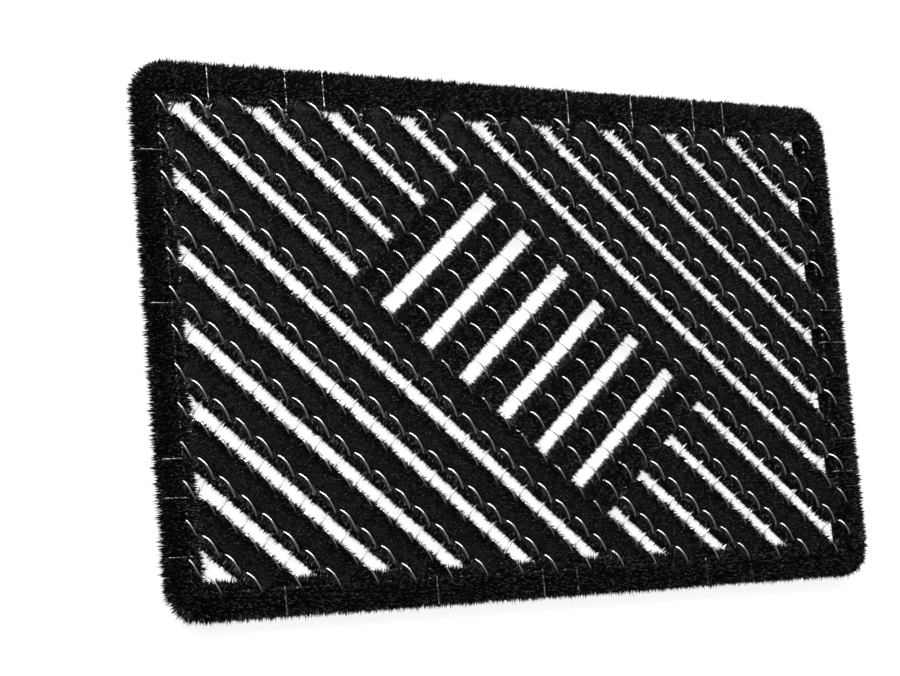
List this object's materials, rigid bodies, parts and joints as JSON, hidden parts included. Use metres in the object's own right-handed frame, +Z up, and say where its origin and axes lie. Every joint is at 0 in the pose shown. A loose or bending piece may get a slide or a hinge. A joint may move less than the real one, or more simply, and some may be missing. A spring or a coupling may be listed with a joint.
{
  "type": "door mat",
  "caption": "Rectangular scraper door mat: diagonal brush strips woven into rows of spiral wire, with a rounded brush border, for cleaning shoe soles.",
  "frame": {"origin": "centre of the mat's footprint, on the floor", "axes": "+X along the long side, +Y along the short side, +Z up through the mat's thickness"},
  "size_m": [0.75, 0.45, 0.0211],
  "materials": {
    "spiral_wire": "galvanised, dull bright",
    "frame_rod": "galvanised, dull",
    "tie_wire": "galvanised, dull bright",
    "falling_bristle": "black synthetic bristle, cut ends",
    "centre_bristle": "black synthetic bristle, cut ends",
    "border_bristle": "black synthetic bristle, fanned outwards"
  },
  "bodies": {
    "root": {"border_brush_bottom": "border_bristle", "border_brush_left": "border_bristle", "border_brush_right": "border_bristle", "border_brush_top": "border_bristle", "border_tie_wires": "tie_wire", "centre_brush_1": "centre_bristle", "centre_brush_2": "centre_bristle", "centre_brush_3": "centre_bristle", "centre_brush_4": "centre_bristle", "centre_brush_5": "centre_bristle", "centre_brush_6": "centre_bristle", "centre_brush_7": "centre_bristle", "falling_brush_01": "falling_bristle", "falling_brush_02": "falling_bristle", "falling_brush_03": "falling_bristle", "falling_brush_04": "falling_bristle", "falling_brush_05": "falling_bristle", "falling_brush_06": "falling_bristle", "falling_brush_07": "falling_bristle", "falling_brush_08": "falling_bristle", "falling_brush_09": "falling_bristle", "falling_brush_10": "falling_bristle", "falling_brush_11": "falling_bristle", "falling_brush_12": "falling_bristle", "falling_brush_13": "falling_bristle", "falling_brush_14": "falling_bristle", "falling_brush_15": "falling_bristle", "falling_brush_16": "falling_bristle", "falling_brush_17": "falling_bristle", "falling_brush_18": "falling_bristle", "frame_rod_lower": "frame_rod", "frame_rod_upper": "frame_rod", "spiral_wire_01": "spiral_wire", "spiral_wire_02": "spiral_wire", "spiral_wire_03": "spiral_wire", "spiral_wire_04": "spiral_wire", "spiral_wire_05": "spiral_wire", "spiral_wire_06": "spiral_wire", "spiral_wire_07": "spiral_wire", "spiral_wire_08": "spiral_wire", "spiral_wire_09": "spiral_wire", "spiral_wire_10": "spiral_wire", "spiral_wire_11": "spiral_wire", "spiral_wire_12": "spiral_wire", "spiral_wire_13": "spiral_wire", "spiral_wire_14": "spiral_wire", "spiral_wire_15": "spiral_wire", "spiral_wire_16": "spiral_wire", "spiral_wire_17": "spiral_wire", "spiral_wire_18": "spiral_wire", "spiral_wire_19": "spiral_wire", "spiral_wire_20": "spiral_wire", "spiral_wire_21": "spiral_wire", "spiral_wire_22": "spiral_wire", "spiral_wire_23": "spiral_wire", "spiral_wire_24": "spiral_wire", "spiral_wire_25": "spiral_wire", "spiral_wire_26": "spiral_wire"}
  },
  "joints": []
}
